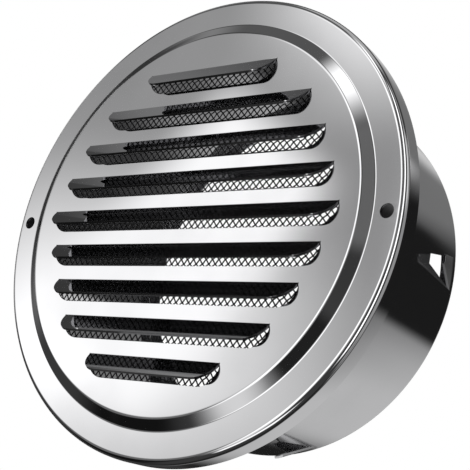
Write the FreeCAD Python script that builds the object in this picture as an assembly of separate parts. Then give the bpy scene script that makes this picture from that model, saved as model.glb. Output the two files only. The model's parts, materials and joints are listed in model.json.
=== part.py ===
"""Round louvred vent cover in polished stainless sheet, with a spigot collar and an insect screen.

Frame, in millimetres: +X to the right seen from the front, +Y into the wall, +Z up. The origin is on the
collar's axis, in the wall plane that the rim of the face plate sits on.
"""
import FreeCAD, Part
import math
import os

from FreeCAD import Vector

# Collar: rolled strip with a lip at each end and lanced spring barbs
COLLAR_DIAMETER = 98.0
COLLAR_SHEET = 0.5
COLLAR_REACH = 40.8
FRONT_LIP_WIDTH = 3.2
REAR_LIP_WIDTH = 4.0
REAR_LIP_INSIDE_RADIUS = 0.6
BARB_COUNT = 5
BARB_LENGTH = 12.4
BARB_ROOT_WIDTH = 8.0
BARB_TIP_WIDTH = 2.2
BARB_ANGLE = 17.0
BARB_SETBACK = 2.1

# Face plate: raised disc, sloping step, flange ring and a rim that returns to the wall
PLATE_SHEET = 0.6
RIM_DEPTH = 5.9
RIM_INSIDE_RADIUS = 0.9
SEAT_WIDTH = 1.35
STEP_RUN = 2.75
STEP_RISE = 1.35
SCREW_HOLE_DIAMETER = 3.3
SCREW_HOLE_CLEARANCE = 0.25
SCREW_EDGE_MARGIN = 2.4

# Louvres: flaps lanced on three sides and bent outward about their top edge
LOUVRE_HEIGHT = 5.7
LOUVRE_STRIP = 3.47
LOUVRE_DROP = 0.5
LOUVRE_ANGLE = 39.0
LOUVRE_CORNER_RADIUS = 5.2
LOUVRE_INSIDE_RADIUS = 0.3
# Land between the ends of a louvre and the edge of the disc, from the middle row outward
LOUVRE_LANDS = (4.93, 6.37, 6.65, 6.08, 7.1)

# Insect screen: crossing ridges stand for the woven wires, inside a pressed selvage
SCREEN_THICKNESS = 0.72
SCREEN_RIDGE_WIDTH = 1.6
SCREEN_RIDGE_PITCH = 10.4
SCREEN_LAYER_OVERLAP = 0.1
SCREEN_EDGE_SETBACK = 0.2
SCREEN_TURN = 45.0
SELVAGE_WIDTH = 2.6

# Width of the cut that frees a flap or a barb from its sheet
LANCE_GAP = 0.12

# Length of the short flats that a spun bend is drawn with
BEND_FLAT = 1.3

AXIS = Vector(0, 1, 0)
ORIGIN = Vector(0, 0, 0)
CUT_ALLOWANCE = 2.0

# Radii about the axis, worked outward from the collar
COLLAR_OUTER = COLLAR_DIAMETER / 2
COLLAR_INNER = COLLAR_OUTER - COLLAR_SHEET
REAR_LIP_RADIUS = COLLAR_OUTER - REAR_LIP_WIDTH
FRONT_LIP_RADIUS = COLLAR_OUTER + FRONT_LIP_WIDTH
SCREEN_RADIUS = FRONT_LIP_RADIUS - SCREEN_EDGE_SETBACK
STEP_RADIUS = FRONT_LIP_RADIUS - SEAT_WIDTH
DISC_RADIUS = STEP_RADIUS - STEP_RUN
SCREW_HOLE_OFFSET = FRONT_LIP_RADIUS + SCREW_HOLE_CLEARANCE + SCREW_HOLE_DIAMETER / 2
FLANGE_RADIUS = SCREW_HOLE_OFFSET + SCREW_HOLE_DIAMETER / 2 + SCREW_EDGE_MARGIN

# Depths along Y, worked out from the wall plane at 0
FLANGE_FRONT = -RIM_DEPTH
DISC_FRONT = FLANGE_FRONT - STEP_RISE
SCREEN_FRONT = FLANGE_FRONT + PLATE_SHEET
LIP_FRONT = SCREEN_FRONT + SCREEN_THICKNESS
BARB_HINGE = COLLAR_REACH - BARB_SETBACK

# Louvre rows, and the flat part of a flap below its bend
LOUVRE_PITCH = LOUVRE_HEIGHT + LOUVRE_STRIP
LOUVRE_BEND = (LOUVRE_INSIDE_RADIUS + PLATE_SHEET / 2) * math.radians(LOUVRE_ANGLE)
LOUVRE_FLAT = LOUVRE_HEIGHT - LOUVRE_BEND
LOUVRE_CORNER = min(LOUVRE_CORNER_RADIUS, LOUVRE_FLAT)


def unit(start, end):
    """Direction from one (r, y) point to the next."""
    length = math.hypot(end[0] - start[0], end[1] - start[1])
    return ((end[0] - start[0]) / length, (end[1] - start[1]) / length)


def shifted_corners(corners, distance):
    """The same open path, moved sideways by a distance to its left."""
    directions = [unit(a, b) for a, b in zip(corners, corners[1:])]
    normals = [(-d[1], d[0]) for d in directions]
    moved = [tuple(c + distance * n for c, n in zip(corners[0], normals[0]))]
    for corner, before, after in zip(corners[1:-1], normals, normals[1:]):
        scale = distance / (1 + before[0] * after[0] + before[1] * after[1])
        moved.append(tuple(c + scale * (a + b) for c, a, b in zip(corner, before, after)))
    moved.append(tuple(c + distance * n for c, n in zip(corners[-1], normals[-1])))
    return moved


def bent_path(corners, radii):
    """Points of an open path. A corner with a radius becomes short flats along its arc, and one without is square."""
    points = [corners[0]]
    for before, corner, after, radius in zip(corners, corners[1:], corners[2:], radii):
        if radius == 0:
            points.append(corner)
            continue
        incoming = unit(before, corner)
        outgoing = unit(corner, after)
        cross = incoming[0] * outgoing[1] - incoming[1] * outgoing[0]
        dot = incoming[0] * outgoing[0] + incoming[1] * outgoing[1]
        turn = math.atan2(cross, dot)
        heading = math.atan2(incoming[1], incoming[0])
        setback = radius * math.tan(abs(turn) / 2)
        offset = math.copysign(radius, turn)
        centre_r = corner[0] - setback * incoming[0] - offset * incoming[1]
        centre_y = corner[1] - setback * incoming[1] + offset * incoming[0]
        flats = max(1, round(radius * abs(turn) / BEND_FLAT))
        for step in range(flats + 1):
            angle = heading + turn * step / flats
            points.append((centre_r + offset * math.sin(angle), centre_y - offset * math.cos(angle)))
    return points + [corners[-1]]


def spun_sheet(corners, inside_radii, sheet, side):
    """Solid of a bent sheet turned about the axis. side is 1 where the sheet lies left of the path.

    A bend with an inside radius of 0 is a crease, square on both faces.
    """
    directions = [unit(a, b) for a, b in zip(corners, corners[1:])]
    near_radii = []
    far_radii = []
    for before, after, inside in zip(directions, directions[1:], inside_radii):
        outside = inside + sheet if inside else 0
        turns_to_sheet = (before[0] * after[1] - before[1] * after[0]) * side > 0
        near_radii.append(outside if turns_to_sheet else inside)
        far_radii.append(inside if turns_to_sheet else outside)
    near = bent_path(corners, near_radii)
    far = bent_path(shifted_corners(corners, side * sheet), far_radii)
    section = [Vector(r, y, 0) for r, y in near + far[::-1]]
    return Part.Face(Part.makePolygon(section + section[:1])).revolve(ORIGIN, AXIS, 360)


def flap_outline(half_length, top, bottom):
    """Face in the XZ plane: straight top edge, and lower corners rounded by arcs."""
    low = bottom + LOUVRE_CORNER
    inset = half_length - LOUVRE_CORNER
    slant = LOUVRE_CORNER * math.sqrt(0.5)
    edges = [
        Part.makeLine(Vector(-half_length, 0, top), Vector(half_length, 0, top)),
        Part.makeLine(Vector(half_length, 0, top), Vector(half_length, 0, low)),
        Part.Arc(Vector(half_length, 0, low), Vector(inset + slant, 0, low - slant),
                 Vector(inset, 0, bottom)).toShape(),
        Part.makeLine(Vector(inset, 0, bottom), Vector(-inset, 0, bottom)),
        Part.Arc(Vector(-inset, 0, bottom), Vector(-inset - slant, 0, low - slant),
                 Vector(-half_length, 0, low)).toShape(),
        Part.makeLine(Vector(-half_length, 0, low), Vector(-half_length, 0, top)),
    ]
    return Part.Face(Part.Wire(edges))


def louvre_rows():
    """Hinge height and half length of each louvre that fits on the disc, from the bottom row to the top."""
    count = math.floor(DISC_RADIUS / LOUVRE_PITCH)
    rows = []
    for row in range(-count, count + 1):
        middle = row * LOUVRE_PITCH
        far_edge = abs(middle) + LOUVRE_HEIGHT / 2 + LOUVRE_DROP
        land = LOUVRE_LANDS[min(abs(row), len(LOUVRE_LANDS) - 1)]
        half_length = math.sqrt(max(DISC_RADIUS ** 2 - far_edge ** 2, 0)) - land
        if half_length > LOUVRE_HEIGHT:
            rows.append((middle + LOUVRE_HEIGHT / 2 - LOUVRE_DROP, half_length))
    return rows


def louvre_opening(hinge, half_length):
    """Cutter for the slot that a louvre's flap was bent out of."""
    outline = flap_outline(half_length + LANCE_GAP, hinge, hinge - LOUVRE_HEIGHT)
    outline.translate(Vector(0, DISC_FRONT - CUT_ALLOWANCE, 0))
    return outline.extrude(Vector(0, PLATE_SHEET + 2 * CUT_ALLOWANCE, 0))


def louvre_flap(hinge, half_length):
    """Flap with its bend: the bent section is drawn from the side, then trimmed to the rounded outline."""
    angle = math.radians(LOUVRE_ANGLE)
    inside = LOUVRE_INSIDE_RADIUS
    outside = inside + PLATE_SHEET

    def on_bend(radius, turn, along=0.0):
        return Vector(-half_length,
                      DISC_FRONT - inside + radius * math.cos(turn) - along * math.sin(turn),
                      hinge - radius * math.sin(turn) - along * math.cos(turn))

    section = Part.Wire([
        Part.Arc(on_bend(inside, 0), on_bend(inside, angle / 2), on_bend(inside, angle)).toShape(),
        Part.makeLine(on_bend(inside, angle), on_bend(inside, angle, LOUVRE_FLAT)),
        Part.makeLine(on_bend(inside, angle, LOUVRE_FLAT), on_bend(outside, angle, LOUVRE_FLAT)),
        Part.makeLine(on_bend(outside, angle, LOUVRE_FLAT), on_bend(outside, angle)),
        Part.Arc(on_bend(outside, angle), on_bend(outside, angle / 2), on_bend(outside, 0)).toShape(),
        Part.makeLine(on_bend(outside, 0), on_bend(inside, 0)),
    ])
    bent = Part.Face(section).extrude(Vector(2 * half_length, 0, 0))
    trim = flap_outline(half_length, outside + CUT_ALLOWANCE, -LOUVRE_FLAT)
    trim.translate(Vector(0, -PLATE_SHEET - CUT_ALLOWANCE, 0))
    trim = trim.extrude(Vector(0, 2 * (PLATE_SHEET + CUT_ALLOWANCE), 0))
    trim.rotate(ORIGIN, Vector(1, 0, 0), -LOUVRE_ANGLE)
    root = on_bend(inside + PLATE_SHEET / 2, angle)
    trim.translate(Vector(0, root.y, root.z))
    return bent.common(trim)


def screw_hole(x):
    """Cutter for one screw hole through the flange ring."""
    start = Vector(x, FLANGE_FRONT - CUT_ALLOWANCE, 0)
    return Part.makeCylinder(SCREW_HOLE_DIAMETER / 2, PLATE_SHEET + 2 * CUT_ALLOWANCE, start, AXIS)


def face_plate():
    """Pressed plate: spun form, lanced openings, bent flaps and two screw holes."""
    corners = [
        (0, DISC_FRONT),
        (DISC_RADIUS, DISC_FRONT),
        (STEP_RADIUS, FLANGE_FRONT),
        (FLANGE_RADIUS, FLANGE_FRONT),
        (FLANGE_RADIUS, 0),
    ]
    plate = spun_sheet(corners, (0, 0, RIM_INSIDE_RADIUS), PLATE_SHEET, 1)
    rows = louvre_rows()
    cutters = [louvre_opening(*row) for row in rows]
    cutters += [screw_hole(side * SCREW_HOLE_OFFSET) for side in (-1, 1)]
    plate = plate.cut(cutters)
    return plate.fuse([louvre_flap(*row) for row in rows]).removeSplitter()


def barb_blank(gap):
    """Prism through the collar wall on +X: a tapered tongue that points to the front, from its hinge line."""
    root = BARB_ROOT_WIDTH / 2 + gap
    tip = BARB_TIP_WIDTH / 2 + gap
    front = BARB_HINGE - BARB_LENGTH - gap
    start = COLLAR_INNER - CUT_ALLOWANCE
    points = [
        Vector(start, BARB_HINGE, -root),
        Vector(start, front, -tip),
        Vector(start, front, tip),
        Vector(start, BARB_HINGE, root),
    ]
    tongue = Part.Face(Part.makePolygon(points + points[:1]))
    return tongue.extrude(Vector(COLLAR_SHEET + 2 * CUT_ALLOWANCE, 0, 0))


def barb():
    """Tongue of the collar wall on +X, bent outward about its hinge line near the rear edge."""
    start = Vector(0, BARB_HINGE - BARB_LENGTH, 0)
    wall = Part.makeCylinder(COLLAR_OUTER, BARB_LENGTH, start, AXIS)
    wall = wall.cut(Part.makeCylinder(COLLAR_INNER, BARB_LENGTH, start, AXIS))
    tongue = wall.common(barb_blank(0))
    pivot = Vector(COLLAR_OUTER - COLLAR_SHEET / 2, BARB_HINGE, 0)
    tongue.rotate(pivot, Vector(0, 0, 1), BARB_ANGLE)
    return tongue


def around_axis(shape, count):
    """Copies of a shape, evenly spaced about the axis."""
    copies = []
    for step in range(count):
        turned = shape.copy()
        turned.rotate(ORIGIN, AXIS, step * 360 / count)
        copies.append(turned)
    return copies


def collar():
    """Rolled tube with its two lips, the barb cut-outs and the bent barbs."""
    corners = [
        (FRONT_LIP_RADIUS, LIP_FRONT),
        (COLLAR_INNER, LIP_FRONT),
        (COLLAR_INNER, COLLAR_REACH - COLLAR_SHEET),
        (REAR_LIP_RADIUS, COLLAR_REACH - COLLAR_SHEET),
    ]
    tube = spun_sheet(corners, (0, REAR_LIP_INSIDE_RADIUS), COLLAR_SHEET, -1)
    tube = tube.cut(around_axis(barb_blank(LANCE_GAP), BARB_COUNT))
    return tube.fuse(around_axis(barb(), BARB_COUNT)).removeSplitter()


def screen_ridges(front, angle):
    """One layer of parallel ridges, turned about the axis, trimmed to the selvage."""
    layer = (SCREEN_THICKNESS + SCREEN_LAYER_OVERLAP) / 2
    trim_radius = SCREEN_RADIUS - SELVAGE_WIDTH / 2
    outermost = math.floor((trim_radius - SELVAGE_WIDTH) / SCREEN_RIDGE_PITCH)
    ridges = []
    for step in range(-outermost, outermost + 1):
        corner = Vector(step * SCREEN_RIDGE_PITCH - SCREEN_RIDGE_WIDTH / 2, front, -SCREEN_RADIUS)
        ridge = Part.makeBox(SCREEN_RIDGE_WIDTH, layer, 2 * SCREEN_RADIUS, corner)
        ridge.rotate(ORIGIN, AXIS, angle)
        ridges.append(ridge)
    trim = Part.makeCylinder(trim_radius, layer, Vector(0, front, 0), AXIS)
    return [ridge.common(trim) for ridge in ridges]


def insect_screen():
    """Wire cloth: two layers of ridges that cross at right angles, held in a flat selvage ring."""
    start = Vector(0, SCREEN_FRONT, 0)
    selvage = Part.makeCylinder(SCREEN_RADIUS, SCREEN_THICKNESS, start, AXIS)
    opening = Part.makeCylinder(SCREEN_RADIUS - SELVAGE_WIDTH, SCREEN_THICKNESS, start, AXIS)
    selvage = selvage.cut(opening)
    second_layer = SCREEN_FRONT + (SCREEN_THICKNESS - SCREEN_LAYER_OVERLAP) / 2
    ridges = screen_ridges(SCREEN_FRONT, SCREEN_TURN) + screen_ridges(second_layer, SCREEN_TURN - 90)
    return selvage.fuse(ridges).removeSplitter()


def main():
    os.makedirs("parts", exist_ok=True)
    pieces = {"face_plate": face_plate(), "collar": collar(), "insect_screen": insect_screen()}
    for name, shape in pieces.items():
        print(name, "solids", len(shape.Solids), "valid", shape.isValid(), "volume", round(shape.Volume, 1))
        (solid,) = shape.Solids
        solid.exportStep(f"parts/{name}.step")


main()
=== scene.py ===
# %% [markdown]
# # A round louvred vent cover in polished steel
# The cover is three pieces of stainless steel: a pressed face plate with lanced louvres, a round of woven
# wire cloth, and a rolled collar that pushes into the duct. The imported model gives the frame, in metres: +X
# to the right seen from the front, +Y into the wall, +Z up, with the wall plane at Y = 0. A mirror finish
# shows every facet, so each piece is modelled again here with fine bends and softened edges, at the sizes
# of the frame.

# %% Load the frame and clear the table
import json
import math

import bpy
from mathutils import Matrix, Vector

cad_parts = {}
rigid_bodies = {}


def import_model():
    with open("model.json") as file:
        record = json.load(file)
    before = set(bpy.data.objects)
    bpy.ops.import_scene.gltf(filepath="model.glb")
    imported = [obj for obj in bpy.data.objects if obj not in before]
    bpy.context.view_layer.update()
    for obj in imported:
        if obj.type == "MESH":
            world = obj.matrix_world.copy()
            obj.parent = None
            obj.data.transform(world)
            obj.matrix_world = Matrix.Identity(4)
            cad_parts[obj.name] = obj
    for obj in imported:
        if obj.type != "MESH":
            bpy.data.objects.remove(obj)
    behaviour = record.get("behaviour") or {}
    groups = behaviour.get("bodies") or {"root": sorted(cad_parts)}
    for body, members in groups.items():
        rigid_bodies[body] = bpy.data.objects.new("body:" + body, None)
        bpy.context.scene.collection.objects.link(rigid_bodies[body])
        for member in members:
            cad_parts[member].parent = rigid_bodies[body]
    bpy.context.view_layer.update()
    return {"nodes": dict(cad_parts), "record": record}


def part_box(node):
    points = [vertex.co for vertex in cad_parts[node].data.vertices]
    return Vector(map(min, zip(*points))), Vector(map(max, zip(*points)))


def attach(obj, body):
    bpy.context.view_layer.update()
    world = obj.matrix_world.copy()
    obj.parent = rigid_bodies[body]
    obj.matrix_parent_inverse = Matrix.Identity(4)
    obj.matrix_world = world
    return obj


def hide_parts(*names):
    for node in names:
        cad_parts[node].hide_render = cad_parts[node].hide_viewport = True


bpy.ops.object.select_all(action="SELECT")
bpy.ops.object.delete()
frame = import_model()
# Sizes of the cover are named in millimetres, and MM turns them into the frame's metres.
MM = 0.001
print("nodes", sorted(frame["nodes"]))

# %% [markdown]
# ## The camera
# The photograph looks up at the cover from the right, close by, with a normal long lens. The eye, the
# direction of the optical axis and the focal length were solved from the circles of the plate, so the
# camera is set from those values and nothing is fitted by eye. The floor is never in this view, because the
# camera looks upward.

# %% Camera
SENSOR_WIDTH = 36.0
FOCAL_LENGTH = 77.03
CAMERA_EYE = Vector((153.06, -178.51, -65.76)) * MM
CAMERA_RIGHT = Vector((0.8006, 0.5712, 0.1809))
CAMERA_UP = Vector((0.0161, -0.3223, 0.9465))
NEAREST_SEEN = 10.0

camera_axes = Matrix((CAMERA_RIGHT, CAMERA_UP, CAMERA_RIGHT.cross(CAMERA_UP))).transposed()
bpy.ops.object.camera_add(location=CAMERA_EYE, rotation=camera_axes.to_euler())
camera = bpy.context.object
camera.data.sensor_width = SENSOR_WIDTH
camera.data.lens = FOCAL_LENGTH
camera.data.clip_start = NEAREST_SEEN * MM
bpy.context.scene.camera = camera
bpy.context.scene.view_settings.view_transform = "Standard"
print("camera at", [round(v / MM, 1) for v in camera.location], "mm")

# %% [markdown]
# ## Helpers for drawing sheet metal
# A spun sheet starts as its section: one vertex is extruded from point to point, as with E in edit mode,
# and the outline is then turned about the collar's axis with Spin. Bends are arcs with a few segments,
# worked out from the corner and the radius, so the two faces of the sheet stay parallel.

# %% Drawing helpers
AXIS = Vector((0, 1, 0))
BEND_STEPS = 8
MERGE_DISTANCE = 0.001
PLACE_TOLERANCE = 0.01
FACING = 0.9
EDGE_BREAK = 0.05
EDGE_ANGLE = math.radians(50)
SMOOTH_ANGLE = math.radians(35)


def clear_selection():
    """Back to object mode with nothing selected."""
    if bpy.context.mode != "OBJECT":
        bpy.ops.object.mode_set(mode="OBJECT")
    bpy.ops.object.select_all(action="DESELECT")


def edit(piece):
    """Make one piece active and enter edit mode with nothing selected."""
    clear_selection()
    bpy.context.view_layer.objects.active = piece
    piece.select_set(True)
    bpy.ops.object.mode_set(mode="EDIT")
    bpy.ops.mesh.select_all(action="DESELECT")


def choose(piece, kind, wanted):
    """Select the vertices, edges or faces that pass a test, and stay in edit mode."""
    edit(piece)
    bpy.ops.mesh.select_mode(type=kind)
    bpy.ops.object.mode_set(mode="OBJECT")
    mesh = piece.data
    for element in {"VERT": mesh.vertices, "EDGE": mesh.edges, "FACE": mesh.polygons}[kind]:
        element.select = wanted(element)
    bpy.ops.object.mode_set(mode="EDIT")


def trace(name, points):
    """A wire drawn vertex by vertex through points in metres."""
    clear_selection()
    bpy.ops.mesh.primitive_plane_add(size=MM)
    piece = bpy.context.object
    piece.name = piece.data.name = name
    bpy.ops.object.mode_set(mode="EDIT")
    bpy.ops.mesh.select_mode(type="VERT")
    bpy.ops.mesh.merge(type="CENTER")
    bpy.ops.transform.translate(value=points[0])
    for before, after in zip(points, points[1:]):
        bpy.ops.mesh.extrude_region_move(TRANSFORM_OT_translate={"value": after - before})
    return piece


def rounded(corners, radii):
    """Points of an open path of (r, y) corners in millimetres, each inner corner drawn as an arc."""
    points = [corners[0]]
    for before, corner, after, radius in zip(corners, corners[1:], corners[2:], radii):
        incoming = (Vector(corner) - Vector(before)).normalized()
        outgoing = (Vector(after) - Vector(corner)).normalized()
        turn = math.atan2(incoming.x * outgoing.y - incoming.y * outgoing.x, incoming.dot(outgoing))
        heading = math.atan2(incoming.y, incoming.x)
        offset = math.copysign(radius, turn)
        start = Vector(corner) - incoming * radius * math.tan(abs(turn) / 2)
        centre = start + offset * Vector((-incoming.y, incoming.x))
        for step in range(BEND_STEPS + 1):
            angle = heading + turn * step / BEND_STEPS
            points.append((centre.x + offset * math.sin(angle), centre.y - offset * math.cos(angle)))
    return points + [corners[-1]]


def spun(name, section, steps):
    """An open section of (r, y) points in millimetres, turned about the collar's axis."""
    piece = trace(name, [Vector((r, y, 0)) * MM for r, y in section])
    bpy.ops.mesh.select_all(action="SELECT")
    bpy.ops.mesh.spin(steps=steps, angle=math.tau, center=(0, 0, 0), axis=AXIS)
    bpy.ops.mesh.select_all(action="SELECT")
    bpy.ops.mesh.remove_doubles(threshold=MERGE_DISTANCE * MM)
    return piece


def apply_modifier(piece, kind, **settings):
    """Add one modifier with its settings and apply it."""
    clear_selection()
    bpy.context.view_layer.objects.active = piece
    piece.select_set(True)
    modifier = piece.modifiers.new(kind.lower(), kind)
    for key, value in settings.items():
        setattr(modifier, key, value)
    bpy.ops.object.modifier_apply(modifier=modifier.name)


def cut(piece, cutters):
    """Take the cutters out of a piece, and delete them."""
    apply_modifier(piece, "BOOLEAN", operation="DIFFERENCE", solver="EXACT", object=cutters)
    clear_selection()
    cutters.select_set(True)
    bpy.ops.object.delete()


def join(name, pieces):
    """Several objects made one."""
    clear_selection()
    for piece in pieces:
        piece.select_set(True)
    bpy.context.view_layer.objects.active = pieces[0]
    bpy.ops.object.join()
    pieces[0].name = pieces[0].data.name = name
    return pieces[0]


def face_outwards(piece):
    """Turn all normals to the outside."""
    edit(piece)
    bpy.ops.mesh.select_all(action="SELECT")
    bpy.ops.mesh.normals_make_consistent(inside=False)
    bpy.ops.object.mode_set(mode="OBJECT")


def soften(piece):
    """Break the cut edges, then shade so that flats stay flat and bends stay round."""
    apply_modifier(piece, "BEVEL", width=EDGE_BREAK * MM, segments=2, limit_method="ANGLE",
                   angle_limit=EDGE_ANGLE, harden_normals=False)
    clear_selection()
    bpy.context.view_layer.objects.active = piece
    piece.select_set(True)
    bpy.ops.object.shade_smooth_by_angle(angle=SMOOTH_ANGLE)
    apply_modifier(piece, "WEIGHTED_NORMAL", weight=50, keep_sharp=True)


def report(piece):
    """Print the size of a finished piece, and how many edges are open."""
    piece.data.calc_loop_triangles()
    uses = [0] * len(piece.data.edges)
    for loop in piece.data.loops:
        uses[loop.edge_index] += 1
    low = [round(min(v.co[i] for v in piece.data.vertices) / MM, 2) for i in range(3)]
    high = [round(max(v.co[i] for v in piece.data.vertices) / MM, 2) for i in range(3)]
    print(piece.name, len(piece.data.loop_triangles), "triangles, open edges",
          sum(1 for count in uses if count != 2), "from", low, "to", high)


print("helpers ready, axis", tuple(AXIS))

# %% [markdown]
# ## The face plate
# The real plate is one sheet, pressed so that a disc stands proud of the flange and the rim turns back to
# the wall. Insets pushed in and out of a disc could give the same form, but a section keeps the sheet
# equally thick through each bend. It is drawn once, front face and back face, and spun. The flat middle of
# the disc is left open and filled with one face on each side, so that the louvres are cut in a clean flat
# and not in hundreds of wedges.

# %% Face plate, spun
SPIN_STEPS = 240
PLATE_SHEET = 0.6
RIM_DEPTH = 5.9
RIM_BEND = 0.9
STEP_RISE = 1.35
STEP_BEND = 1.0
STEP_RADIUS = 50.85
DISC_RADIUS = 48.1
FLAT_RADIUS = 46.0
FLANGE_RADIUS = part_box("face_plate")[1].x / MM
FLANGE_FRONT = -RIM_DEPTH
DISC_FRONT = FLANGE_FRONT - STEP_RISE
DISC_BACK = DISC_FRONT + PLATE_SHEET

step_turn = math.atan2(STEP_RISE, STEP_RADIUS - DISC_RADIUS)
step_shift = PLATE_SHEET * math.tan(step_turn / 2)
front_corners = [
    (FLAT_RADIUS, DISC_FRONT),
    (DISC_RADIUS, DISC_FRONT),
    (STEP_RADIUS, FLANGE_FRONT),
    (FLANGE_RADIUS, FLANGE_FRONT),
    (FLANGE_RADIUS, 0.0),
]
back_corners = [
    (FLANGE_RADIUS - PLATE_SHEET, 0.0),
    (FLANGE_RADIUS - PLATE_SHEET, FLANGE_FRONT + PLATE_SHEET),
    (STEP_RADIUS - step_shift, FLANGE_FRONT + PLATE_SHEET),
    (DISC_RADIUS - step_shift, DISC_BACK),
    (FLAT_RADIUS, DISC_BACK),
]
front_bends = (STEP_BEND + PLATE_SHEET, STEP_BEND, RIM_BEND + PLATE_SHEET)
back_bends = (RIM_BEND, STEP_BEND + PLATE_SHEET, STEP_BEND)
plate_section = rounded(front_corners, front_bends) + rounded(back_corners, back_bends)
plate = spun("face_plate_sheet", plate_section, SPIN_STEPS)


def on_flat_edge(vertex, depth):
    """True for the vertices round the open middle, on one side of the sheet."""
    radius = math.hypot(vertex.co.x, vertex.co.z) / MM
    return abs(radius - FLAT_RADIUS) < PLACE_TOLERANCE and abs(vertex.co.y / MM - depth) < PLACE_TOLERANCE


for depth in (DISC_FRONT, DISC_BACK):
    choose(plate, "VERT", lambda vertex: on_flat_edge(vertex, depth))
    bpy.ops.mesh.edge_face_add()
face_outwards(plate)
report(plate)

# %% [markdown]
# ## The louvres
# On the press, each louvre is lanced on three sides and its flap is bent outward about the top edge. The
# openings could be drawn with inset and extrude, but a Boolean with one prism for each row gives exact
# rounded corners and is easy to repeat. The top of each prism is split where the flap's ends will be.

# %% Louvre openings
LOUVRE_HEIGHT = 5.7
LOUVRE_PITCH = 9.17
LOUVRE_DROP = 0.5
LOUVRE_ANGLE = math.radians(39)
LOUVRE_BEND = 0.3
LOUVRE_CORNER = 5.2
LOUVRE_LANDS = (4.93, 6.37, 6.65, 6.08, 7.1)
LANCE_GAP = 0.15
CORNER_STEPS = 12
CUTTER_REACH = 3.0


def louvre_rows():
    """Hinge height and half length of each louvre, in millimetres, from the bottom row to the top."""
    outermost = len(LOUVRE_LANDS) - 1
    for row in range(-outermost, outermost + 1):
        middle = row * LOUVRE_PITCH
        far_edge = abs(middle) + LOUVRE_HEIGHT / 2 + LOUVRE_DROP
        half = math.sqrt(DISC_RADIUS ** 2 - far_edge ** 2) - LOUVRE_LANDS[abs(row)]
        yield middle + LOUVRE_HEIGHT / 2 - LOUVRE_DROP, half


def louvre_cutter(hinge, half):
    """A prism through the sheet with rounded lower corners. Its top is split where the flap's ends are."""
    side = half + LANCE_GAP
    low = hinge - LOUVRE_HEIGHT + LOUVRE_CORNER
    outline = [(-side, hinge), (-half, hinge), (half, hinge), (side, hinge)]
    for step in range(CORNER_STEPS + 1):
        angle = math.pi / 2 * step / CORNER_STEPS
        outline.append((side - LOUVRE_CORNER * (1 - math.cos(angle)), low - LOUVRE_CORNER * math.sin(angle)))
    for x, z in outline[:3:-1]:
        outline.append((-x, z))
    depth = DISC_FRONT - CUTTER_REACH
    cutter = trace("louvre_cutter", [Vector((x, depth, z)) * MM for x, z in outline])
    bpy.ops.mesh.select_all(action="SELECT")
    bpy.ops.mesh.edge_face_add()
    bpy.ops.mesh.extrude_region_move(TRANSFORM_OT_translate={"value": AXIS * 2 * CUTTER_REACH * MM})
    return cutter


cutters = join("louvre_cutters", [louvre_cutter(hinge, half) for hinge, half in louvre_rows()])
face_outwards(cutters)
cut(plate, cutters)
report(plate)

# %% [markdown]
# ## The flaps
# A flap is the same sheet as the plate, so no new piece is added for it: the narrow wall at the top of its
# opening is selected, turned through the bend with Spin and extruded to the flap's length. The two lower
# corners are rounded with Bevel. The Boolean leaves a few stray vertices along the hinge, and a Bevel stops
# at the first vertex that it meets, so the strays at the flap's tip are first slid towards the middle.

# %% Louvre flaps
FLAP_STEPS = 6
STRAY_SLIDE = 0.5
flap_flat = LOUVRE_HEIGHT - (LOUVRE_BEND + PLATE_SHEET / 2) * LOUVRE_ANGLE
flap_fall = Vector((0, -math.sin(LOUVRE_ANGLE), -math.cos(LOUVRE_ANGLE))) * flap_flat * MM


def at_hinge(face, hinge, half):
    """True for the narrow wall at the top of one opening, between the flap's ends."""
    level = abs(face.center.z / MM - hinge) < PLACE_TOLERANCE
    return level and face.normal.z < -FACING and abs(face.center.x / MM) < half


def at_flap_end(vertex, half):
    """True for a vertex at either end of a flap."""
    return abs(abs(vertex.co.x) / MM - half) < PLACE_TOLERANCE


def at_tip_corner(edge, tip, half):
    """True for the two edges through the sheet at the corners of a flap's tip."""
    first, second = (plate.data.vertices[index] for index in edge.vertices)
    upright = abs(first.co.x - second.co.x) < PLACE_TOLERANCE * MM
    return tip.issuperset(edge.vertices) and upright and at_flap_end(first, half)


for hinge, half in louvre_rows():
    choose(plate, "FACE", lambda face: at_hinge(face, hinge, half))
    centre = Vector((0, DISC_FRONT - LOUVRE_BEND, hinge)) * MM
    bpy.ops.mesh.spin(steps=FLAP_STEPS, angle=LOUVRE_ANGLE, center=centre, axis=(1, 0, 0))
    bpy.ops.mesh.extrude_region_move(TRANSFORM_OT_translate={"value": flap_fall})
    bpy.ops.object.mode_set(mode="OBJECT")
    tip = {vertex.index for vertex in plate.data.vertices if vertex.select}
    choose(plate, "VERT", lambda vertex: vertex.index in tip and not at_flap_end(vertex, half))
    bpy.ops.transform.resize(value=(STRAY_SLIDE, 1, 1), center_override=(0, 0, 0))
    choose(plate, "EDGE", lambda edge: at_tip_corner(edge, tip, half))
    bpy.ops.mesh.bevel(offset=LOUVRE_CORNER * MM, segments=CORNER_STEPS, affect="EDGES")
report(plate)

# %% [markdown]
# ## The screw holes
# Two plain round holes are punched in the flange, level with the axis. Their spacing and radius come from
# the record's bolt pattern, so they line up with the screws that the frame was checked with. A Boolean with
# two cylinders does what the punch does. After this last cut every sharp edge gets a tiny bevel, because
# real sheet has no perfect edge and the bevel catches a line of light.

# %% Screw holes
HOLE_SIDES = 48
mounts = {mount["name"]: mount for mount in frame["record"]["mounts"]}
screw_dims = mounts["screw_holes"]["dims"]


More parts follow.
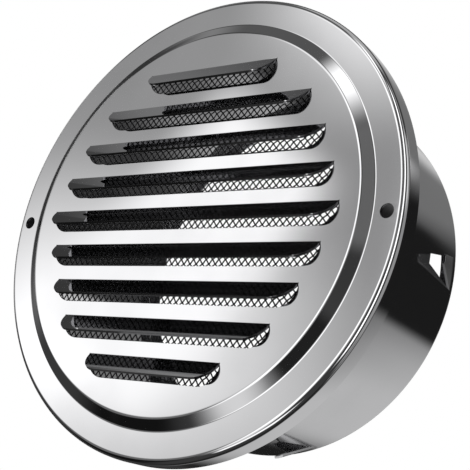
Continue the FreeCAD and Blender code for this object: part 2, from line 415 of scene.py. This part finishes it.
def hole_cutter(side):
    """A round punch through the flange."""
    clear_selection()
    bpy.ops.mesh.primitive_cylinder_add(
        vertices=HOLE_SIDES, radius=screw_dims["hole_r_mm"] * MM, depth=2 * CUTTER_REACH * MM,
        location=(side * screw_dims["spacing_x_mm"] / 2 * MM, FLANGE_FRONT * MM, 0),
        rotation=(math.pi / 2, 0, 0))
    bpy.ops.object.transform_apply(location=True, rotation=True, scale=True)
    return bpy.context.object


cut(plate, join("screw_punches", [hole_cutter(side) for side in (-1, 1)]))
soften(plate)
report(plate)

# %% [markdown]
# ## The collar
# The collar is a strip rolled into a tube. Its front lip is folded out flat behind the flange and clamps
# the screen, and its rear lip is turned in to stiffen the end. Solidify could thicken a plain tube, but a
# closed section, spun once, gives both faces of the sheet their own bend radius.

# %% Collar, spun
COLLAR_SHEET = 0.5
SCREEN_THICKNESS = 0.72
FRONT_LIP_RADIUS = 52.2
FRONT_LIP_BEND = 0.2
REAR_LIP_WIDTH = 4.0
REAR_LIP_BEND = 0.6
collar_dims = mounts["duct_collar"]["dims"]
COLLAR_OUTER = collar_dims["r_mm"]
COLLAR_INNER = COLLAR_OUTER - COLLAR_SHEET
COLLAR_REACH = collar_dims["length_mm"]
LIP_FRONT = FLANGE_FRONT + PLATE_SHEET + SCREEN_THICKNESS
inner_corners = [
    (FRONT_LIP_RADIUS, LIP_FRONT),
    (COLLAR_INNER, LIP_FRONT),
    (COLLAR_INNER, COLLAR_REACH - COLLAR_SHEET),
    (COLLAR_OUTER - REAR_LIP_WIDTH, COLLAR_REACH - COLLAR_SHEET),
]
outer_corners = [
    (COLLAR_OUTER - REAR_LIP_WIDTH, COLLAR_REACH),
    (COLLAR_OUTER, COLLAR_REACH),
    (COLLAR_OUTER, LIP_FRONT + COLLAR_SHEET),
    (FRONT_LIP_RADIUS, LIP_FRONT + COLLAR_SHEET),
]
collar_section = rounded(inner_corners, (FRONT_LIP_BEND + COLLAR_SHEET, REAR_LIP_BEND))
collar_section += rounded(outer_corners, (REAR_LIP_BEND + COLLAR_SHEET, FRONT_LIP_BEND))
collar = spun("collar_strip", collar_section + collar_section[:1], SPIN_STEPS)
face_outwards(collar)
report(collar)

# %% [markdown]
# ## The barbs
# Five tapered tongues are lanced out of the collar and bent outward, so that they grip the duct when the
# cover is pushed in. They are made as the louvres were: the opening is cut, its rear wall is turned outward
# with Spin, the tongue is extruded, and its tip is narrowed.

# %% Collar barbs
BARB_COUNT = 5
BARB_LENGTH = 12.4
BARB_ROOT = 8.0
BARB_TIP = 2.2
BARB_ANGLE = math.radians(17)
BARB_BEND = 0.4
BARB_SETBACK = 2.1
BARB_STEPS = 4
barb_hinge = COLLAR_REACH - BARB_SETBACK
barb_turns = [math.tau * step / BARB_COUNT for step in range(BARB_COUNT)]


def barb_cutter(turn):
    """A tapered prism through the collar wall, open on three sides by the lance gap."""
    near = COLLAR_INNER - CUTTER_REACH
    front = barb_hinge - BARB_LENGTH - LANCE_GAP
    root = BARB_ROOT / 2 + LANCE_GAP
    tip = BARB_TIP / 2 + LANCE_GAP
    outline = [(barb_hinge, -root), (front, -tip), (front, tip), (barb_hinge, root)]
    cutter = trace("barb_cutter", [Vector((near, y, z)) * MM for y, z in outline])
    bpy.ops.mesh.select_all(action="SELECT")
    bpy.ops.mesh.edge_face_add()
    bpy.ops.mesh.extrude_region_move(TRANSFORM_OT_translate={"value": (2 * CUTTER_REACH * MM, 0, 0)})
    bpy.ops.object.mode_set(mode="OBJECT")
    cutter.rotation_euler = (0, turn, 0)
    bpy.ops.object.transform_apply(location=True, rotation=True, scale=True)
    return cutter


def at_barb_root(face, outward):
    """True for the rear wall of one barb's opening."""
    level = abs(face.center.y / MM - barb_hinge) < PLACE_TOLERANCE and face.normal.y < -FACING
    return level and face.center.dot(outward) > FACING * COLLAR_INNER * MM


cutters = join("barb_cutters", [barb_cutter(turn) for turn in barb_turns])
face_outwards(cutters)
cut(collar, cutters)
for turn in barb_turns:
    outward = Vector((math.cos(turn), 0, -math.sin(turn)))
    tangent = outward.cross(AXIS)
    choose(collar, "FACE", lambda face: at_barb_root(face, outward))
    centre = (outward * (COLLAR_OUTER + BARB_BEND) + AXIS * barb_hinge) * MM
    bpy.ops.mesh.spin(steps=BARB_STEPS, angle=-BARB_ANGLE, center=centre, axis=tangent)
    reach = (outward * math.sin(BARB_ANGLE) - AXIS * math.cos(BARB_ANGLE)) * BARB_LENGTH * MM
    bpy.ops.mesh.extrude_region_move(TRANSFORM_OT_translate={"value": reach})
    bpy.ops.object.mode_set(mode="OBJECT")
    for vertex in collar.data.vertices:
        if vertex.select:
            vertex.co -= tangent * vertex.co.dot(tangent) * (1 - BARB_TIP / BARB_ROOT)
soften(collar)
report(collar)

# %% [markdown]
# ## The wire cloth
# The screen is plain woven wire: each wire passes over one crossing wire and under the next. A flat picture
# of a mesh would be lighter, but the camera is near enough to see the wires cross. One wave of one wire is
# drawn by extruding a small ring, Array repeats it along the wire, and a second Array lays the wires side
# by side, in pairs of opposite phase. The cloth is turned by 45 degrees, trimmed to the round of the lip
# and capped at the cuts.

# %% Woven wires
WIRE_PITCH = 1.32
WIRE_DIAMETER = 0.34
WIRE_SIDES = 6
WIRE_SMOOTH_ANGLE = math.radians(65)
CLOTH_MARGIN = 0.2
CLOTH_TURN = math.radians(45)
CLOTH_RADIUS = FRONT_LIP_RADIUS - CLOTH_MARGIN
CLOTH_MIDDLE = FLANGE_FRONT + PLATE_SHEET + SCREEN_THICKNESS / 2
WAVE_STEPS = 4
wave = WIRE_DIAMETER / 2
run = WIRE_PITCH * 2 / WAVE_STEPS
wire_count = math.ceil(CLOTH_RADIUS / WIRE_PITCH) * 2
wave_heights = [wave * math.cos(math.tau * step / WAVE_STEPS) for step in range(WAVE_STEPS + 1)]


def woven_layer(name, turn, phase):
    """All wires of one direction. phase is 1 or -1, for the wires that start over or under."""
    clear_selection()
    bpy.ops.mesh.primitive_circle_add(vertices=WIRE_SIDES, radius=WIRE_DIAMETER / 2 * MM,
                                      location=(0, phase * wave_heights[0] * MM, 0))
    layer = bpy.context.object
    layer.name = layer.data.name = name
    bpy.ops.object.transform_apply(location=True, rotation=True, scale=True)
    bpy.ops.object.mode_set(mode="EDIT")
    bpy.ops.mesh.select_mode(type="VERT")
    for before, after in zip(wave_heights, wave_heights[1:]):
        step = Vector((0, phase * (after - before), run)) * MM
        bpy.ops.mesh.extrude_region_move(TRANSFORM_OT_translate={"value": step})
    bpy.ops.object.mode_set(mode="OBJECT")
    bpy.ops.object.duplicate()
    neighbour = bpy.context.object
    neighbour.location = Vector((WIRE_PITCH, 0, WIRE_PITCH)) * MM
    bpy.ops.object.transform_apply(location=True, rotation=True, scale=True)
    layer = join(name, [layer, neighbour])
    apply_modifier(layer, "ARRAY", count=wire_count // 2, use_relative_offset=False, use_constant_offset=True,
                   constant_offset_displace=(0, 0, 2 * WIRE_PITCH * MM), use_merge_vertices=True,
                   merge_threshold=PLACE_TOLERANCE * MM)
    apply_modifier(layer, "ARRAY", count=wire_count // 2, use_relative_offset=False, use_constant_offset=True,
                   constant_offset_displace=(2 * WIRE_PITCH * MM, 0, 0))
    shift = -wire_count / 2 * WIRE_PITCH
    layer.location = Vector((shift, 0, shift)) * MM
    bpy.ops.object.transform_apply(location=True, rotation=True, scale=True)
    layer.rotation_euler = (0, turn, 0)
    layer.location = Vector((0, CLOTH_MIDDLE, 0)) * MM
    bpy.ops.object.transform_apply(location=True, rotation=True, scale=True)
    choose(layer, "VERT", lambda vertex: math.hypot(vertex.co.x, vertex.co.z) > CLOTH_RADIUS * MM)
    bpy.ops.mesh.delete(type="VERT")
    bpy.ops.mesh.select_all(action="SELECT")
    bpy.ops.mesh.delete_loose()
    bpy.ops.mesh.select_all(action="SELECT")
    bpy.ops.mesh.fill_holes(sides=4 * WIRE_SIDES)
    face_outwards(layer)
    bpy.ops.object.shade_smooth_by_angle(angle=WIRE_SMOOTH_ANGLE)
    report(layer)
    return layer


warp = woven_layer("screen_warp_wires", CLOTH_TURN, 1)
weft = woven_layer("screen_weft_wires", -CLOTH_TURN, -1)

# %% [markdown]
# ## Polished steel
# All three pieces are bare stainless steel, so they share one finish: a faint rolled grain, soft smears
# left by handling and a slight unevenness of the polish. The group puts out a colour, a roughness and a
# height, and each material sets its own depth of grain. A photograph of scratches could be laid on instead,
# but noise in object space has no seams and needs no unwrapping. Metal gets its look from what it reflects,
# so the colour itself stays plain.

# %% Steel finish group
GRAIN_STRETCH = (0.02, 1.0, 1.0)
SMEAR_START = 0.42
SMEAR_FULL = 0.72


def new_group(name, inputs, outputs):
    """A shader node group with float or colour sockets. Colours are four numbers, floats are one."""
    group = bpy.data.node_groups.new(name, "ShaderNodeTree")
    for title, value in inputs.items():
        kind = "NodeSocketColor" if isinstance(value, tuple) else "NodeSocketFloat"
        group.interface.new_socket(title, in_out="INPUT", socket_type=kind).default_value = value
    for title, kind in outputs.items():
        group.interface.new_socket(title, in_out="OUTPUT", socket_type=kind)
    return group, group.nodes.new("NodeGroupInput"), group.nodes.new("NodeGroupOutput")


def add_node(tree, kind, links=None, **settings):
    """A node with its settings, and sockets that are linked or set by name."""
    node = tree.nodes.new(kind)
    for key, value in settings.items():
        setattr(node, key, value)
    for title, value in (links or {}).items():
        if isinstance(value, bpy.types.NodeSocket):
            tree.links.new(value, node.inputs[title])
        else:
            node.inputs[title].default_value = value
    return node


finish_group, finish_in, finish_out = new_group(
    "polished_steel_finish",
    {"Steel": (0.75, 0.75, 0.76, 1.0), "Smear": (0.68, 0.68, 0.69, 1.0), "Grain Scale": 900.0,
     "Smear Scale": 30.0, "Polish": 0.08, "Dull": 0.16},
    {"Color": "NodeSocketColor", "Roughness": "NodeSocketFloat", "Height": "NodeSocketFloat"})
place = add_node(finish_group, "ShaderNodeTexCoord")
stretch = add_node(finish_group, "ShaderNodeMapping",
                   {"Vector": place.outputs["Object"], "Scale": GRAIN_STRETCH})
grain = add_node(finish_group, "ShaderNodeTexNoise",
                 {"Vector": stretch.outputs["Vector"], "Scale": finish_in.outputs["Grain Scale"],
                  "Detail": 3.0})
smear = add_node(finish_group, "ShaderNodeTexNoise",
                 {"Vector": place.outputs["Object"], "Scale": finish_in.outputs["Smear Scale"],
                  "Detail": 4.0})
smear_mask = add_node(finish_group, "ShaderNodeMapRange",
                      {"Value": smear.outputs["Fac"], "From Min": SMEAR_START, "From Max": SMEAR_FULL},
                      interpolation_type="SMOOTHSTEP")
tint = add_node(finish_group, "ShaderNodeMix", {"Factor": smear_mask.outputs["Result"]}, data_type="RGBA")
# In a mix of colours, inputs 6 and 7 are the two colours and output 2 is the result.
finish_group.links.new(finish_in.outputs["Steel"], tint.inputs[6])
finish_group.links.new(finish_in.outputs["Smear"], tint.inputs[7])
rough = add_node(finish_group, "ShaderNodeMapRange",
                 {"Value": smear_mask.outputs["Result"], "To Min": finish_in.outputs["Polish"],
                  "To Max": finish_in.outputs["Dull"]})
finish_group.links.new(tint.outputs[2], finish_out.inputs["Color"])
finish_group.links.new(rough.outputs["Result"], finish_out.inputs["Roughness"])
finish_group.links.new(grain.outputs["Fac"], finish_out.inputs["Height"])
print("finish group with", len(finish_group.nodes), "nodes")

# %% [markdown]
# ## Where each steel goes
# The front of the plate is mirror polished. Its back keeps the duller mill finish, and its dark grey colour
# is painted shade for the undersides of the flaps. The edges that the press has sheared are rough, and their
# near-black colour is painted shade. The back and the edges are picked out by the direction that their faces
# look in, and get material slots of their own on the same mesh, which keeps the sheet one piece. The collar
# is bright rolled strip, and the cloth is drawn wire painted nearly black as the shade inside the collar.

# %% Steel materials
BACK_FACING = 0.5
END_FACING = 0.3
SLOT_WALL_LEAN = (52, 168)
HOLE_MARGIN = 0.1


def steel(name, values, grain_depth):
    """One steel, with the shared finish at its own values."""
    material = bpy.data.materials.new(name)
    material.use_nodes = True
    tree = material.node_tree
    shader = tree.nodes["Principled BSDF"]
    shader.inputs["Metallic"].default_value = 1.0
    finish = add_node(tree, "ShaderNodeGroup", node_tree=finish_group)
    for title, value in values.items():
        finish.inputs[title].default_value = value
    bump = add_node(tree, "ShaderNodeBump", {"Height": finish.outputs["Height"], "Strength": 1.0,
                                             "Distance": grain_depth * MM})
    tree.links.new(finish.outputs["Color"], shader.inputs["Base Color"])
    tree.links.new(finish.outputs["Roughness"], shader.inputs["Roughness"])
    tree.links.new(bump.outputs["Normal"], shader.inputs["Normal"])
    return material


mirror_sheet = steel("mirror_polished_sheet", {"Polish": 0.04, "Dull": 0.08}, grain_depth=0.0004)
rolled_strip = steel("bright_rolled_strip", {"Steel": (0.72, 0.72, 0.73, 1),
                                             "Polish": 0.07, "Dull": 0.12}, grain_depth=0.0006)
# Painted shade: the wire's near-black colour stands in for the dark inside of the collar that the wires
# mirror; the steel itself is not this dark.
wire_painted_shade = steel("drawn_wire_painted_shade", {"Steel": (0.12, 0.12, 0.125, 1), "Smear": (0.09, 0.09, 0.095, 1),
                                       "Polish": 0.12, "Dull": 0.2}, grain_depth=0.0008)
# Partly real, partly painted shade: the back of the sheet has a duller mill finish, and its dark grey colour
# is painted shade on the undersides of the flaps.
back_with_painted_shade = steel("mill_back_with_painted_shade", {"Steel": (0.3, 0.3, 0.31, 1), "Smear": (0.26, 0.26, 0.27, 1),
                                          "Polish": 0.08, "Dull": 0.14}, grain_depth=0.0006)
# Painted shade: the near-black colour of the sheared edges stands in for the dark that they mirror; their
# higher roughness is the real cut.
sheared_edge_painted_shade = steel("sheared_edge_painted_shade", {"Steel": (0.13, 0.13, 0.135, 1), "Smear": (0.1, 0.1, 0.105, 1),
                                      "Polish": 0.2, "Dull": 0.3}, grain_depth=0.0004)
finishes = (
    (plate, "face_plate", "polished_sheet", mirror_sheet),
    (collar, "collar", "polished_collar", rolled_strip),
    (warp, "insect_screen", "wire_cloth", wire_painted_shade),
    (weft, "insect_screen", "wire_cloth", wire_painted_shade),
)
for piece, node, slot, material in finishes:
    piece.data.materials.clear()
    piece.data.materials.append(material)
    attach(piece, "root")
    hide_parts(node)


def on_sheet_back(face):
    """Whether a face of the plate looks towards the wall, or inwards from the rim."""
    outward = face.center.xz.normalized()
    in_rim = face.center.xz.length > (FLANGE_RADIUS - 2 * PLATE_SHEET) * MM
    return face.normal.y > BACK_FACING or (in_rim and face.normal.xz.dot(outward) < -BACK_FACING)


def on_cut_edge(face):
    """Whether a face is the sheared end of a louvre, the edge of its slot, or inside a screw hole."""
    from_hole = math.hypot(abs(face.center.x) - screw_dims["spacing_x_mm"] / 2 * MM, face.center.z)
    if from_hole < (screw_dims["hole_r_mm"] + HOLE_MARGIN) * MM:
        return abs(face.normal.y) < BACK_FACING
    lean = math.degrees(math.atan2(face.normal.z, -face.normal.y))
    across = abs(face.normal.x) > END_FACING or SLOT_WALL_LEAN[0] < lean < SLOT_WALL_LEAN[1]
    return across and face.center.xz.length < FLAT_RADIUS * MM


plate_finishes = ((back_with_painted_shade, on_sheet_back), (sheared_edge_painted_shade, on_cut_edge))
for number, (material, wanted) in enumerate(plate_finishes, 1):
    plate.data.materials.append(material)
    choose(plate, "FACE", wanted)
    plate.active_material_index = number
    bpy.ops.object.material_slot_assign()
    clear_selection()
print("finished", [piece.name for piece, node, slot, material in finishes])

# %% [markdown]
# ## The studio
# A mirror is lit by what stands round it. The picture was taken in a dim studio with a few soft white
# panels and black flags, so a large dome round the object carries those panels as soft patches, by azimuth
# and elevation. Lamps could stand in for them, but one dome holds them all, with edges as soft as each
# needs. The side walls and the top light stand where this view mirrors almost nothing, and are there for
# the other sides. Each later panel covers the ones before it. Only reflections see the dome.

# %% Studio dome
# The dome is far larger than the cover, so its radius is in metres.
DOME_RADIUS = 1.5
DOME_SEGMENTS = 64
DOME_RINGS = 32
BASE_LEVEL = 0.048
# Name, azimuth from +Y towards +X, elevation, half width, half height, lean, softness and level.
# Angles are in degrees.
PANELS = (
    ("ceiling", -122, 63, 53, 13.5, -6, 4, 0.113),
    ("top light", 0, 84, 200, 13, 0, 4, 0.5),
    ("left side panel", -70, 29, 20, 8, 9, 2, 0.8),
    ("left upper panel", -55, 46.5, 11, 10, 4, 4, 0.5),
    ("left edge strip", -110, 18, 3.5, 16, 0, 2, 0.9),
    ("left wall", -86, 5, 11, 8.5, -2, 5, 0.146),
    ("upper left wall", -101, 50, 13, 5.5, 13, 5, 0.25),
    ("grey front wall", -142, 22, 24, 14, 6, 6.5, 0.37),
    ("low front glow", -138, 3, 19.5, 9.5, 19, 7, 0.69),
    ("upper front glow", -156, 38, 13, 9.5, -8, 6, 1.22),
    ("front panel halo", -134, 7.5, 3, 10, 61, 10, 2.1),
    ("white front panel", -139, 13.7, 4.7, 10, 31, 2, 1.3),
    ("front wall", 176, -4, 10, 20, 0, 4, 0.3),
    ("front strip", -167, 5, 11, 35, 4, 4.5, 1.5),
    ("overhead front panel", 176, 58, 9.5, 9.5, 6, 11, 2.1),
    ("right front wall", 157, 25.5, 9, 18, 3, 3, 0.17),
    ("low front panel", -167, -34, 10, 9, 17, 7.5, 0.85),
    ("under front panel", 175, -55, 28, 7.5, 5, 4, 1.5),
    ("front flag", 165, -8, 4, 15, -9, 2.5, 0.055),
    ("low front flag", 170, -20.5, 3.5, 10, 39, 2.5, 0.018),
    ("low left flag", -115, -36, 26.5, 14, -22, 6.5, 0.008),
    ("low front wall", -136, -18, 16, 9.5, 0, 4, 0.18),
    ("right strip", 135, 14, 9, 46, 0, 4, 2),
    ("right back wall", 59, -2, 8, 45, 0, 3, 0.35),
    ("right wall", 88, 12, 12, 56, 0, 5, 0.36),
    ("right window", 87, 33, 12, 13, 0, 5, 0.95),
    ("far right strip", 72, 7, 7, 36.5, 0, 3, 0.37),
    ("back floor", -2, -22, 28.5, 24, -20, 12, 0.61),
    ("under floor", 5, -63, 80, 17, 1, 10, 0.02),
    ("back ceiling", 4, 37, 24.5, 15, 8, 5, 0.2),
    ("left back panel", -18, 32, 12.5, 4.5, -7, 6, 0.69),
    ("right back glow", 28, 34.5, 3.5, 6.5, -30, 2.5, 0.85),
    ("right back flag", 36, 5.7, 14.3, 16, -8, 2.3, 0.0137),
    ("left back flag", -27, -12.5, 12.7, 15, -1, 7, 0.014),
    ("back flag", -40, 13, 11, 11, 9, 4, 0.02),
)
patch_group, patch_in, patch_out = new_group(
    "studio_panel",
    {"Azimuth": 0.0, "Elevation": 0.0, "Under": 0.0, "At Azimuth": 0.0, "At Elevation": 0.0,
     "Half Width": 0.2, "Half Height": 0.2, "Lean": 0.0, "Softness": 0.05, "Level": 1.0},
    {"Level": "NodeSocketFloat"})


def calculate(operation, *values):
    """One math node of the panel group, and its result."""
    return add_node(patch_group, "ShaderNodeMath", dict(enumerate(values)), operation=operation).outputs[0]


def soft_limit(distance, size):
    """A mask that falls from 1 to 0 at the panel's edge."""
    far = calculate("ABSOLUTE", distance)
    inner = calculate("SUBTRACT", size, patch_in.outputs["Softness"])
    outer = calculate("ADD", size, patch_in.outputs["Softness"])
    return add_node(patch_group, "ShaderNodeMapRange",
                    {"Value": far, "From Min": inner, "From Max": outer, "To Min": 1.0, "To Max": 0.0},
                    interpolation_type="SMOOTHSTEP").outputs["Result"]


turned = calculate("SUBTRACT", patch_in.outputs["Azimuth"], patch_in.outputs["At Azimuth"])
turned = calculate("WRAP", turned, math.pi, -math.pi)
raised = calculate("SUBTRACT", patch_in.outputs["Elevation"], patch_in.outputs["At Elevation"])
lean_cos = calculate("COSINE", patch_in.outputs["Lean"])
lean_sin = calculate("SINE", patch_in.outputs["Lean"])
across = calculate("ADD", calculate("MULTIPLY", turned, lean_cos),
                   calculate("MULTIPLY", raised, lean_sin))
along = calculate("SUBTRACT", calculate("MULTIPLY", raised, lean_cos),
                  calculate("MULTIPLY", turned, lean_sin))
across = soft_limit(across, patch_in.outputs["Half Width"])
along = soft_limit(along, patch_in.outputs["Half Height"])
blend = add_node(patch_group, "ShaderNodeMapRange",
                 {"Value": calculate("MULTIPLY", across, along), "To Min": patch_in.outputs["Under"],
                  "To Max": patch_in.outputs["Level"]})
patch_group.links.new(blend.outputs["Result"], patch_out.inputs["Level"])

clear_selection()
bpy.ops.mesh.primitive_uv_sphere_add(segments=DOME_SEGMENTS, ring_count=DOME_RINGS, radius=DOME_RADIUS)
dome = bpy.context.object
dome.name = "studio_dome"
dome_material = bpy.data.materials.new("studio_panels")
dome_material.use_nodes = True
dome_tree = dome_material.node_tree
dome_tree.nodes.clear()
spot = add_node(dome_tree, "ShaderNodeTexCoord")
direction = add_node(dome_tree, "ShaderNodeVectorMath", {0: spot.outputs["Object"]}, operation="NORMALIZE")
parts = add_node(dome_tree, "ShaderNodeSeparateXYZ", {"Vector": direction.outputs["Vector"]})
azimuth = add_node(dome_tree, "ShaderNodeMath", {0: parts.outputs["X"], 1: parts.outputs["Y"]},
                   operation="ARCTAN2")
elevation = add_node(dome_tree, "ShaderNodeMath", {0: parts.outputs["Z"]}, operation="ARCSINE")
level = BASE_LEVEL
for name, at_azimuth, at_elevation, half_width, half_height, lean, softness, strength in PANELS:
    panel = add_node(dome_tree, "ShaderNodeGroup", node_tree=patch_group, label=name)
    angles = {"At Azimuth": at_azimuth, "At Elevation": at_elevation, "Half Width": half_width,
              "Half Height": half_height, "Lean": lean, "Softness": softness}
    for title, degrees in angles.items():
        panel.inputs[title].default_value = math.radians(degrees)
    panel.inputs["Level"].default_value = strength
    dome_tree.links.new(azimuth.outputs[0], panel.inputs["Azimuth"])
    dome_tree.links.new(elevation.outputs[0], panel.inputs["Elevation"])
    if isinstance(level, float):
        panel.inputs["Under"].default_value = level
    else:
        dome_tree.links.new(level, panel.inputs["Under"])
    level = panel.outputs["Level"]
glow = add_node(dome_tree, "ShaderNodeEmission", {"Strength": level})
add_node(dome_tree, "ShaderNodeOutputMaterial", {"Surface": glow.outputs["Emission"]})
dome_material.cycles.emission_sampling = "NONE"
dome.data.materials.append(dome_material)
dome.visible_camera = False
dome.visible_diffuse = False
dome.visible_shadow = False
print("dome with", len(PANELS), "panels")

# %% [markdown]
# ## Floor, background and shadow
# A pale floor keeps the soft shadow and fades to white far from the object. The world is white for the
# camera, and one large, weak lamp draws the shadow. Reflections see neither the floor nor the lamp, because
# the dome already carries all that the steel should mirror.

# %% Floor, world and lamp
# The height is in millimetres, like the cover. The floor's width, the fade and the lamp are in metres.
FLOOR_HEIGHT = -78.0
FLOOR_RADIUS = 1.2
FLOOR_SIDES = 96
FADE_START = 0.25
FADE_END = 0.9
AMBIENT_LEVEL = 0.8
LAMP_PLACE = (-0.35, -0.45, 0.7)
LAMP_TURN = (math.radians(38), 0, math.radians(-38))
LAMP_SIZE = 0.6
LAMP_POWER = 4.0
clear_selection()
bpy.ops.mesh.primitive_circle_add(vertices=FLOOR_SIDES, radius=FLOOR_RADIUS, fill_type="NGON",
                                  location=(0, 0, FLOOR_HEIGHT * MM))
floor = bpy.context.object
floor.name = floor.data.name = "pale_floor"
bpy.ops.object.transform_apply(location=True, rotation=True, scale=True)
floor_material = bpy.data.materials.new("pale_floor")
floor_material.use_nodes = True
floor_tree = floor_material.node_tree
floor_shader = floor_tree.nodes["Principled BSDF"]
floor_shader.inputs["Base Color"].default_value = (0.86, 0.86, 0.86, 1)
floor_shader.inputs["Roughness"].default_value = 0.9
floor_shader.inputs["Specular IOR Level"].default_value = 0.0
floor_place = add_node(floor_tree, "ShaderNodeTexCoord")
floor_far = add_node(floor_tree, "ShaderNodeVectorMath", {0: floor_place.outputs["Object"]},
                     operation="LENGTH")
floor_fade = add_node(floor_tree, "ShaderNodeMapRange",
                      {"Value": floor_far.outputs["Value"], "From Min": FADE_START, "From Max": FADE_END},
                      interpolation_type="SMOOTHSTEP")
floor_white = add_node(floor_tree, "ShaderNodeEmission", {"Strength": 1.0})
floor_mix = add_node(floor_tree, "ShaderNodeMixShader", {0: floor_fade.outputs["Result"],
                                                         1: floor_shader.outputs["BSDF"],
                                                         2: floor_white.outputs["Emission"]})
floor_tree.links.new(floor_mix.outputs["Shader"], floor_tree.nodes["Material Output"].inputs["Surface"])
floor_material.cycles.emission_sampling = "NONE"
floor.data.materials.append(floor_material)
floor.visible_glossy = False

world = bpy.data.worlds.new("white_studio")
bpy.context.scene.world = world
world.use_nodes = True
world_tree = world.node_tree
background = world_tree.nodes["Background"]
path = add_node(world_tree, "ShaderNodeLightPath")
seen = path.outputs["Is Camera Ray"]
for ray in ("Is Glossy Ray", "Is Transmission Ray"):
    either = add_node(world_tree, "ShaderNodeMath", {0: seen, 1: path.outputs[ray]}, operation="MAXIMUM")
    seen = either.outputs[0]
shade = add_node(world_tree, "ShaderNodeMapRange", {"Value": seen, "To Min": AMBIENT_LEVEL, "To Max": 1.0})
world_tree.links.new(shade.outputs["Result"], background.inputs["Strength"])
background.inputs["Color"].default_value = (1, 1, 1, 1)

clear_selection()
bpy.ops.object.light_add(type="AREA", location=LAMP_PLACE, rotation=LAMP_TURN)
lamp = bpy.context.object
lamp.data.size = LAMP_SIZE
lamp.data.energy = LAMP_POWER
lamp.visible_glossy = False
print("floor at", FLOOR_HEIGHT, "mm, lamp", LAMP_POWER, "W")
